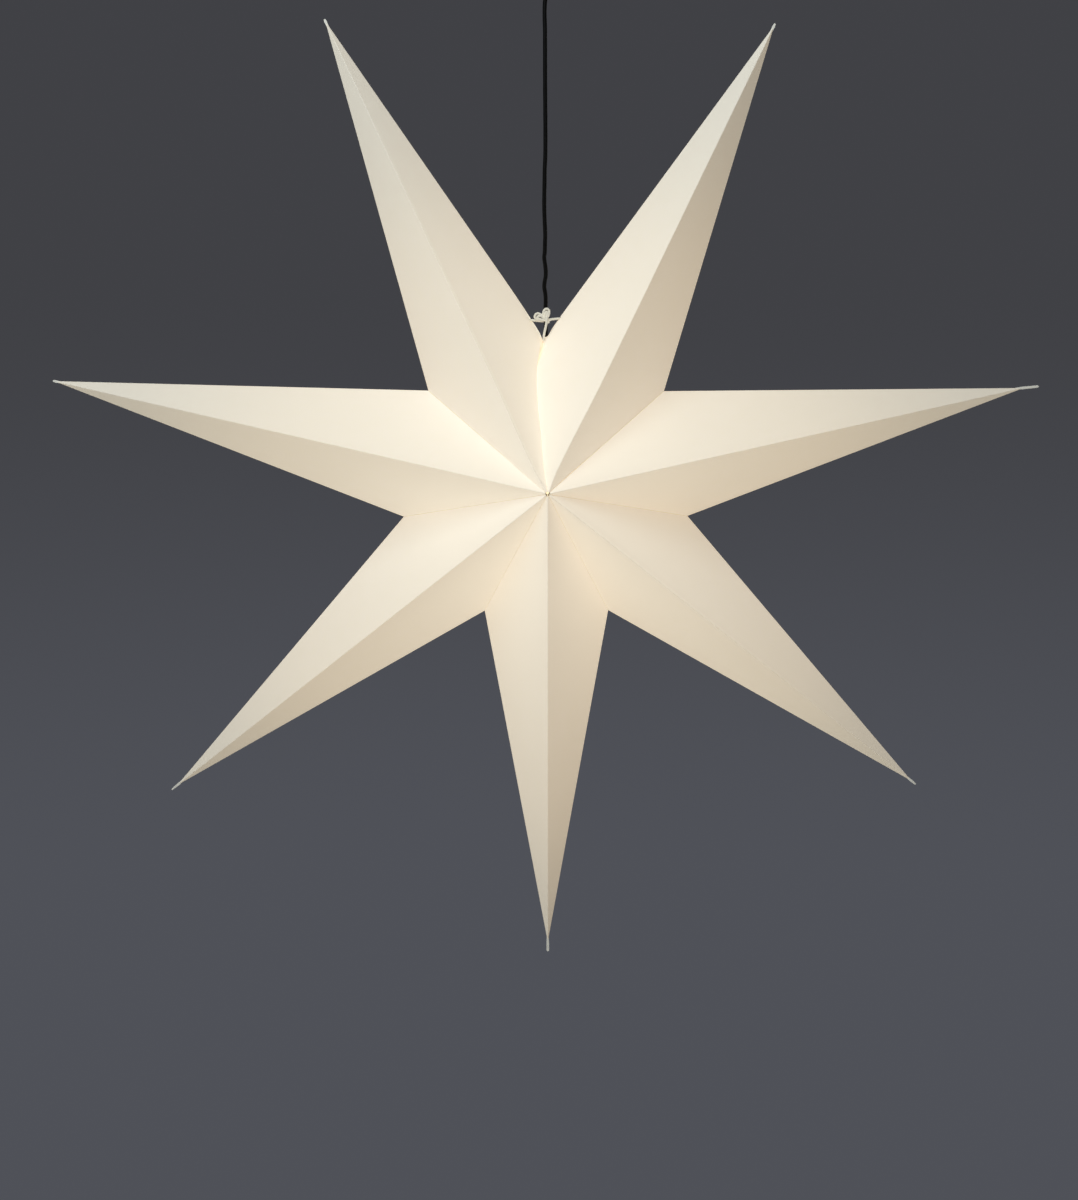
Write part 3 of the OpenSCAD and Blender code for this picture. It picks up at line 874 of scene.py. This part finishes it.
def folded_point(k):
    """One hollow point of folded card, with its glue flaps and its tip end, and a string hole on each of
    the two top points.
    """
    name = POINT_NAMES[k]
    columns, apex = point_columns(k)
    bow = CARD_BOW * math.sin(2.3 * k + 1)
    open_side = OPEN_SEAM_SIDE.get(name)
    outer, inner, folds, index, number = [], [], [], {}, []
    for column in columns:
        line = []
        for out, into, fold in column.cells(apex, bow):
            key = tuple(round(v * 2e6) for v in (*out, *into))
            if key not in index:
                index[key] = len(outer)
                outer.append(out)
                inner.append(into)
                free = open_side and abs(out.x) < 0.004 and out.z > 0
                folds.append(OPEN_SEAM_PAINTED_SHADE if free and fold == VALLEY_PAINTED_SHADE else fold)
            line.append(index[key])
        number.append(line)
    count = len(outer)
    outside = sheet_faces(columns, number)
    inside = [[i + count for i in face[::-1]] for face in outside]
    edges = edge_faces(outside, count)
    marks = [0] * len(outside) + [1] * (len(inside) + len(edges))
    verts = outer + inner
    if name in SEAM_STAND_OFF:
        verts = [stand_off(name, v) for v in verts]
    piece = part_from_mesh(name + "_card", [v + STAR_CENTRE for v in verts],
                           outside + inside + edges, [card_outside, card_inside, card_layers],
                           marks, SHARP_FOLD)
    # Painted shade along the folds, stored on the mesh for the card material to read
    painted_shade_mark = piece.data.attributes.new("fold", "FLOAT", "POINT")
    painted_shade_mark.data.foreach_set("value", folds + folds)
    if open_side:
        punch_fold(piece, -open_side)
    add_tip_end(piece, k)
    piece.data.set_sharp_from_angle(angle=math.radians(SHARP_FOLD))
    finish_piece(piece, "card", name)


def fold_hole(side):
    """Middle of the round hole for a tie string, on the outline fold of a top point."""
    top, end = corner(0), tip(0 if side < 0 else POINTS - 1)
    return top + STRING_HOLE_UP[side] * (end - top).normalized()


def punch_fold(piece, side):
    """Punches the hole for a tie string."""
    aim = Matrix.Rotation(side * math.pi / 2, 4, "Y")
    place = Matrix.Translation(fold_hole(side) + STAR_CENTRE) @ aim
    cut_with(piece, [moved(rod(STRING_HOLE_R, -0.004, 0.009, 32), place)])


def add_tip_end(piece, k):
    """Narrow flat end where the layers of card are glued together beyond the tip."""
    end, around = tip(k), 8
    length, width, lean = TIP_ENDS[k]
    way = (2 * end - corner(k) - corner(k + 1)).normalized()
    way = Matrix.Rotation(math.radians(-lean), 3, "Y") @ way
    depth = Vector((0, 1, 0))
    side = way.cross(depth)
    # Place along it, half width, and half thickness in cards
    stations = ((-0.009, 0.001, 0.9), (-0.002, 0.0014, 0.9),
                (length * 0.3, (0.0028 + width) / 4, 0.8), (length * 0.85, width / 2, 0.7),
                (length * 0.96, width * 0.4, 0.55), (length, width * 0.22, 0.3))
    work = bmesh.new()
    work.from_mesh(piece.data)
    rings = []
    for along, half, thick in stations:
        ring = []
        for s in range(around):
            turn = 2 * math.pi * (s + 0.5) / around
            place = end + along * way + half * math.cos(turn) * side
            ring.append(work.verts.new(place + thick * CARD * math.sin(turn) * depth + STAR_CENTRE))
        rings.append(ring)
    corners = [rings[0][::-1], rings[-1]]
    for low, high in zip(rings, rings[1:]):
        corners += band(low, high)
    faces = [work.faces.new(face) for face in corners]
    for face in faces:
        face.smooth, face.material_index = True, 2
    bmesh.ops.recalc_face_normals(work, faces=faces)
    work.to_mesh(piece.data)
    work.free()


for k in range(POINTS):
    folded_point(k)


# ---- tie strings
FRONT_Y = -(CORD_R + STRING_R) - 0.0003
BOW_Z = 0.1636
# Length of one twist of the plies
STRING_LAY = 0.0075
# Swell of the stopper knot, as (distance from the hole, share of its radius)
STOPPER = ((0.0085, 0.4), (0.0075, 0.85), (0.006, 1.0), (0.0045, 0.85))


def string_path(side, near_hole, steps):
    """Route of a string from its stopper knot, through the punched hole, to its end.

    The steps near the hole are in millimetres from it, and the rest are in millimetres
    from a place just in front of the cord, at the height of the bow.
    """
    hole = fold_hole(side)
    route = [hole + Vector((side * along, 0, 0)) for along, swell in STOPPER]
    route += [hole + Vector(step) / 1000 for step in near_hole]
    route += [Vector((0, FRONT_Y, BOW_Z)) + Vector(step) / 1000 for step in steps]
    return [p + STAR_CENTRE for p in route]


# Once round behind the cord, then a doubled loop to the left and a short end
LEFT_STRING = string_path(-1, [(-3, 0, 0), (0, 0, 0), (3, 0.8, -0.4)], [
    (-7.5, 5.8, -2.2), (-3.4, 7.2, -2.5), (0, 7.5, -2.2), (2.9, 6.5, -1.7), (4.1, 4.6, -1.2),
    (3.8, 2, -1), (2.2, 0.2, -0.9), (0, -0.3, -0.6), (-1.6, -0.8, 0.6), (-3.8, -1, 2.8),
    (-6.2, -1.1, 4.5), (-8.6, -1, 5.2), (-10.8, -0.9, 3.7), (-11.2, -0.9, 1.2), (-9.6, -1, -1),
    (-6.8, -1.3, -2), (-4, -1.7, -1.6), (-2.2, -2.2, -0.2), (-3.6, -2.3, 1.6), (-6.4, -2.2, 2.7),
    (-8.6, -2.1, 1.8), (-8, -2.2, 0.1), (-5.4, -2.6, -0.8), (-2.6, -3, -1.4), (0, -3.2, -1.8),
    (1.7, -2.9, -2.8), (2.5, -2.5, -4.2)])
# A doubled loop upward over the knot, then the long end that hangs into the open seam
RIGHT_STRING = string_path(1, [(3, 0, 0), (0, 0, 0), (-1.6, -1.3, -0.1)], [
    (7, 0.4, -0.4), (2.6, -0.8, -1), (0.4, -1.6, -0.8), (-1.7, -2, 0.6), (-2.9, -2.1, 3.2),
    (-2.8, -2.1, 6), (-1.7, -2.1, 8.6), (0.5, -2.1, 9.7), (2.5, -2.3, 8.5), (3, -2.5, 6.1),
    (2.2, -3, 3.2), (0.9, -3.7, 0.8), (-0.5, -4, -1), (-1.5, -3.9, 0.4), (-1.2, -3.4, 3),
    (-0.7, -3.2, 5.4), (0.3, -3.1, 6.9), (1.1, -3.3, 5.2), (0.9, -3.9, 2.6), (0.7, -4.5, 0),
    (0.4, -4.4, -2.6), (0, -3.9, -5.6), (-0.7, -3.2, -9.1), (-1.5, -2.5, -12.6), (-2.1, -1.9, -16),
    (-2.4, -1.5, -19.6), (-2.4, -1.4, -21.6)])


class StringSection:
    """Three twisted plies, with the swell of the stopper knot near the first end."""

    around = 24

    def __init__(self, where, spacing):
        self.where = where
        self.twist = 2 * math.pi * spacing / STRING_LAY

    def __call__(self, n, turn):
        place = self.where[n]
        low = int(place)
        sizes = [STOPPER_R * swell for along, swell in STOPPER] + [STRING_R]
        a, b = sizes[min(low, len(sizes) - 1)], sizes[min(low + 1, len(sizes) - 1)]
        radius = a + (b - a) * (place - low)
        return radius * (0.84 + 0.16 * abs(math.cos(1.5 * (turn - n * self.twist))))


def tie_string(name, route):
    spacing = 0.0004
    line, where = smooth_route(route, spacing)
    verts, faces = tube(line, StringSection(where, spacing))
    piece = part_from_mesh(name + "_cotton", verts, faces, [cotton], sharp=80)
    finish_piece(piece, "string", name)


tie_string("tie_string_left", LEFT_STRING)
tie_string("tie_string_right", RIGHT_STRING)


# ---- lamp holder and bulb
def bulb_pieces():
    """Round opal glass on a threaded brass cap."""
    neck_top = BULB_TOP_Z - 0.0205
    profile = arc((0, BULB_CENTRE.z), BULB_R, -90, 42, 22)
    r, z = profile[-1]
    profile += [(r - 0.0025, z + 0.0022), (0.0096, neck_top - 0.0042), (0.0084, neck_top - 0.002),
                (0.0074, neck_top), (0.0, neck_top)]
    verts, faces = lathe(profile, closed=False)
    glass = part_from_mesh("bulb_glass", verts, faces, [opal_glass], sharp=60)
    finish_piece(glass, "bulb", "bulb")
    height, pitch = neck_top + 0.001, 0.0028
    thread = [(0.0064, neck_top + 0.0001), (BULB_CAP_R, neck_top + 0.0004)]
    for turn in range(4):
        for share, depth in ((0, 0.0), (0.3, 0.0006), (0.5, 0.0008), (0.7, 0.0006)):
            thread.append((BULB_CAP_R - depth, height + (turn + share) * pitch))
    top = height + 4 * pitch
    thread += [(BULB_CAP_R, top), (BULB_CAP_R - 0.0004, top + 0.0008), (0.0052, top + 0.002)]
    cap = Heap([spindle(thread)])
    cap.add(spindle([(0.0044, top + 0.0019), (0.0034, BULB_TOP_Z - 0.0012)]), 1)
    cap.add(spindle([(0.0026, BULB_TOP_Z - 0.0013), (0.0024, BULB_TOP_Z - 0.0004),
                     (0.0012, BULB_TOP_Z)]))
    finish_piece(cap.piece("bulb_screw_cap", [brass, insulator_white]), "brass")


bulb_pieces()

CAD_FINISHES = {
    "holder_cord_grip": holder_black, "holder_cap": holder_black, "holder_shell": holder_black,
    "contact_block": insulator_white, "centre_contact": brass, "threaded_sleeve": brass}


# ---- ceiling fitting
def ceiling_cup():
    """Moulded cup with a rounded bottom edge, a rolled rim and a mouth for the cord grip."""
    bend = (CUP_R - CUP_ROUND, CUP_ROUND - CUP_HEIGHT)
    mouth = STEM_R + 0.0003
    outside = [(mouth, -CUP_HEIGHT + 0.0002), (mouth + 0.0002, -CUP_HEIGHT)]
    outside += arc(bend, CUP_ROUND, -90, 0, 14)
    outside += [(CUP_R, -0.003), (CUP_R, -0.0004), (CUP_R - 0.0004, 0.0)]
    inside = [(CUP_R - CUP_WALL + 0.0003, 0.0), (CUP_R - CUP_WALL, -0.0003)]
    inside += arc(bend, CUP_ROUND - CUP_WALL, 0, -90, 14)
    inside.append((mouth, CUP_WALL - CUP_HEIGHT))
    verts, faces = lathe(outside + inside, segments=96)
    shell = part_from_mesh("ceiling_cup_shell", verts, faces, [cup_black], sharp=40)
    return finish_piece(shell, "cup", "ceiling_cup")


def cup_grip():
    """Ribbed cord grip under the cup, with its stem through the cup's mouth."""
    bore = CORD_R + 0.0002
    low = -CUP_HEIGHT - CUP_GRIP_HEIGHT
    waist = -CUP_HEIGHT - CUP_GRIP_HEIGHT * 0.45
    stem_top = CUP_WALL + NUT_HEIGHT - CUP_HEIGHT
    heap = Heap([lathe([
        (bore, low), (bore + 0.0016, low), (bore + 0.002, low + 0.0004), (0.0062, low + 0.0046),
        (CUP_GRIP_R - 0.0004, waist - 0.0006), (CUP_GRIP_R, waist),
        (CUP_GRIP_R, -CUP_HEIGHT - 0.0006), (CUP_GRIP_R - 0.0005, -CUP_HEIGHT),
        (STEM_R, -CUP_HEIGHT), (STEM_R, stem_top - 0.0004), (STEM_R - 0.0004, stem_top),
        (bore, stem_top)])])
    half, start, end = 0.0005, waist + 0.0005, -CUP_HEIGHT - 0.001
    outline = rounded([(-half, start), (half, start), (half, end), (-half, end)], 0.0003)
    rib = slab(outline, CUP_GRIP_R - 0.0008, CUP_GRIP_R + 0.00025,
               lambda a, b, depth: Vector((depth, a, b)))
    for n in range(GRIP_RIBS):
        heap.add(moved(rib, Matrix.Rotation(2 * math.pi * n / GRIP_RIBS, 4, "Z")))
    return finish_piece(heap.piece("cup_grip_ribbed", [cup_black]), "cup", "cup_cord_grip")


def ceiling_strap():
    """Pressed steel strap with two ceiling screw holes and two bent-down ears."""
    bend = 0.002
    profile = [(-EAR_X, -EAR_HEIGHT)] + arc((-EAR_X + bend, -bend), bend, 180, 90, 6)
    profile += arc((EAR_X - bend, -bend), bend, 90, 0, 6) + [(EAR_X, -EAR_HEIGHT)]
    inner = []
    for n, (x, z) in enumerate(profile):
        before, after = profile[max(n - 1, 0)], profile[min(n + 1, len(profile) - 1)]
        way = Vector((after[0] - before[0], after[1] - before[1])).normalized()
        inner.append((x + way.y * STRAP_THICK, z - way.x * STRAP_THICK))
    verts, faces = slab(profile + inner[::-1], -STRAP_WIDTH / 2, STRAP_WIDTH / 2,
                        lambda x, z, y: Vector((x, y, z)))
    plate = part_from_mesh("ceiling_strap_plate", verts, faces, [steel])
    hole = rod(STRAP_HOLE_R, -0.004, 0.002)
    cut_with(plate, [moved(hole, Matrix.Translation((x, 0, 0)))
                     for x in (-STRAP_HOLE_GAP / 2, STRAP_HOLE_GAP / 2)])
    return finish_piece(plate, "steel", "ceiling_strap")


def screw_head(across, height):
    """Pan head that stands on the XY plane."""
    r = across / 2
    return spindle([(r, 0.0), (r, height * 0.35), (r * 0.92, height * 0.7),
                    (r * 0.75, height * 0.92), (r * 0.4, height)], 32)


def cup_screws():
    """Two short slotted screws that hold the cup to the strap's ears."""
    shaft = [(SCREW_R - SCREW_THREAD, EAR_X - 0.004)]
    for n in range(SCREW_TURNS):
        z = EAR_X - 0.0036 + n * SCREW_PITCH
        shaft += [(SCREW_R - SCREW_THREAD, z), (SCREW_R, z + 0.0004)]
    seat = CUP_R + 0.0001
    shaft.append((SCREW_R, seat))
    slot = slab(rectangle(0.005, 0.0004), CUP_R + 0.0014, CUP_R + 0.003)
    heap, slots = Heap(), []
    for side in (-1, 1):
        turn = Matrix.Rotation(side * math.pi / 2, 4, "Y")
        start = Matrix.Translation((0, 0, -EAR_HEIGHT / 2)) @ turn
        heap.add(moved(spindle(shaft, 32), start))
        heap.add(moved(screw_head(0.0068, 0.0022), start @ Matrix.Translation((0, 0, seat))))
        slots.append(moved(slot, start @ Matrix.Rotation(math.radians(35 * side), 4, "Z")))
    piece = heap.piece("cup_screws_pair", [steel])
    cut_with(piece, slots)
    return finish_piece(piece, "steel", "cup_screws")


def grip_nut():
    """Six-sided nut inside the cup, with chamfered corners."""
    low, radius, bore, segments = CUP_WALL - CUP_HEIGHT, STEM_R * 1.7, STEM_R + 0.00015, 48
    verts, faces = [], []
    # Height of each ring, and its size as a share of the nut's corners; the bore has none
    for height, size in ((0.0, 0.94), (0.0004, 1.0), (NUT_HEIGHT - 0.0004, 1.0),
                         (NUT_HEIGHT, 0.94), (NUT_HEIGHT, None), (0.0, None)):
        for s in range(segments):
            angle = 2 * math.pi * s / segments
            wedge = (angle % (math.pi / 3)) - math.pi / 6
            flat = radius * math.cos(math.pi / 6) / math.cos(wedge)
            reach = min(flat, radius * size) if size else bore
            verts.append(Vector((reach * math.cos(angle), reach * math.sin(angle), low + height)))
    rings = ring_rows(6, segments)
    for ring, following in zip(rings, rings[1:] + rings[:1]):
        faces += band(ring, following)
    nut = part_from_mesh("cup_grip_nut_six_sided", verts, faces, [cup_black], [0] * len(faces), 25)
    return finish_piece(nut, "cup", "cup_grip_nut")


def terminal_block():
    """Moulded terminal block with a cut between its poles, and a brass screw in each well."""
    half_x, half_y = TERMINAL_WIDTH / 2, TERMINAL_WIDTH * 0.35
    low, high = CORD_TOP_Z, -STRAP_THICK
    middle = (low + high) / 2
    outline = rounded(rectangle(half_x, half_y), 0.0012)
    piece = Heap([slab(outline, low, high)]).piece("terminal_block_body", [insulator_white])
    well = rod(0.0022, -0.002, 0.002)
    cutters, screws = [], Heap()
    for x in (-0.0055, 0.0055):
        for side in (-1, 1):
            face = Matrix.Translation((x, side * half_y, middle))
            cutters.append(moved(well, face @ Matrix.Rotation(math.pi / 2, 4, "X")))
            seat = Matrix.Translation((x, side * (half_y - 0.0021), middle))
            aim = Matrix.Rotation(-side * math.pi / 2, 4, "X")
            screws.add(moved(screw_head(0.0038, 0.0012), seat @ aim))
    cutters.append(slab(rectangle(0.0006, 0.02), low - 0.001, low + 0.003))
    cut_with(piece, cutters)
    finish_piece(piece, "insulator", "terminal_block")
    return piece, finish_piece(screws.piece("terminal_screws", [brass]), "brass")


on_cord = [ceiling_cup(), cup_grip(), ceiling_strap(), cup_screws(), grip_nut(), *terminal_block()]

for node_name, finish in CAD_FINISHES.items():
    node_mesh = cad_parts[node_name]
    node_mesh.data.materials.clear()
    node_mesh.data.materials.append(finish)


# ---- room and light
SUN_SOFTNESS = 0.8
FLOOR_Z = -2.45
FLOOR_RADIUS = 1.6


def aim_lamp(lamp, name, toward, colour):
    """Lamp that shines from a direction."""
    lamp.color = colour
    made = add_object(name, lamp)
    made.rotation_mode = "QUATERNION"
    made.rotation_quaternion = Vector(toward).to_track_quat("Z", "Y")
    return made


def add_sun(name, toward, strength, colour):
    """Soft light from one direction."""
    lamp = bpy.data.lights.new(name, "SUN")
    lamp.energy, lamp.angle = strength, SUN_SOFTNESS
    aim_lamp(lamp, name, toward, colour)


def add_soft_box(name, at, width, power, colour):
    """Square soft box turned towards the star."""
    lamp = bpy.data.lights.new(name, "AREA")
    lamp.shape, lamp.size, lamp.energy = "SQUARE", width, power
    box = aim_lamp(lamp, name, Vector(at) - STAR_CENTRE, colour)
    box.location = at
    box.visible_camera = False


def add_room():
    """Even room light; the room itself is a plain grey, a little paler toward the floor."""
    world = bpy.data.worlds.new("room")
    world.use_nodes = True
    bpy.context.scene.world = world
    tree = world.node_tree
    tree.nodes.clear()
    rays = put(tree, "ShaderNodeLightPath")
    looking = work_out(tree, "MAXIMUM", rays["Is Camera Ray"],
                       work_out(tree, "MAXIMUM", rays["Is Glossy Ray"], rays["Is Transmission Ray"]))
    way = put(tree, "ShaderNodeTexCoord")["Generated"]
    share = graded(tree, put(tree, "ShaderNodeSeparateXYZ", Vector=way)["Z"], -0.36, 0.03)
    grey = blend_colours(tree, "MIX", share, rgba(ROOM_LOW), rgba(ROOM_HIGH))
    even = put(tree, "ShaderNodeBackground", Color=(AMBIENT, AMBIENT, AMBIENT, 1))[0]
    seen = put(tree, "ShaderNodeBackground", Color=grey)[0]
    put(tree, "ShaderNodeOutputWorld",
        Surface=put(tree, "ShaderNodeMixShader", i0=looking, i1=even, i2=seen)[0])


def add_floor():
    """Pale floor under the star that fades into the grey of the room."""
    verts, faces = lathe([(r, FLOOR_Z) for r in (0.0, 0.5, 1.0, FLOOR_RADIUS)], 96, closed=False)
    material, tree, shader = new_material("pale_floor")
    where = place_on_piece(tree)
    speck = mottle(tree, where, 6.0, 4.0)
    colour = blend_colours(tree, "MIX", speck, (0.62, 0.61, 0.59, 1), (0.7, 0.69, 0.67, 1))
    feed(tree, shader, Base_Color=colour, Roughness=0.7)
    from_middle = work_out_vector(tree, "DISTANCE", where, (0, 0, FLOOR_Z))["Value"]
    clear = put(tree, "ShaderNodeBsdfTransparent")[0]
    faded = put(tree, "ShaderNodeMixShader", i0=graded(tree, from_middle, 0.5, FLOOR_RADIUS),
                i1=shader.outputs[0], i2=clear)[0]
    feed(tree, tree.nodes["Material Output"], Surface=faded)
    part_from_mesh("floor", verts, faces, [material])


add_soft_box("window_box", (-0.5, -1.2, 0.8), 1.2, 16.5, (0.92, 1.0, 0.996))
add_sun("low_left_light", (-0.6, -0.4, -0.7), 0.68, (0.98, 1.0, 0.87))
add_sun("low_right_light", (0.6, -0.4, -0.7), 0.48, (1.0, 0.91, 0.69))
add_sun("overhead_light", (0, -0.25, 1), 0.3, (1.0, 0.83, 0.47))
add_sun("back_light", (0.5, 0.78, 0.36), 0.3, (1.0, 0.97, 0.93))
add_room()
add_floor()
bpy.context.scene.view_settings.view_transform = "Standard"
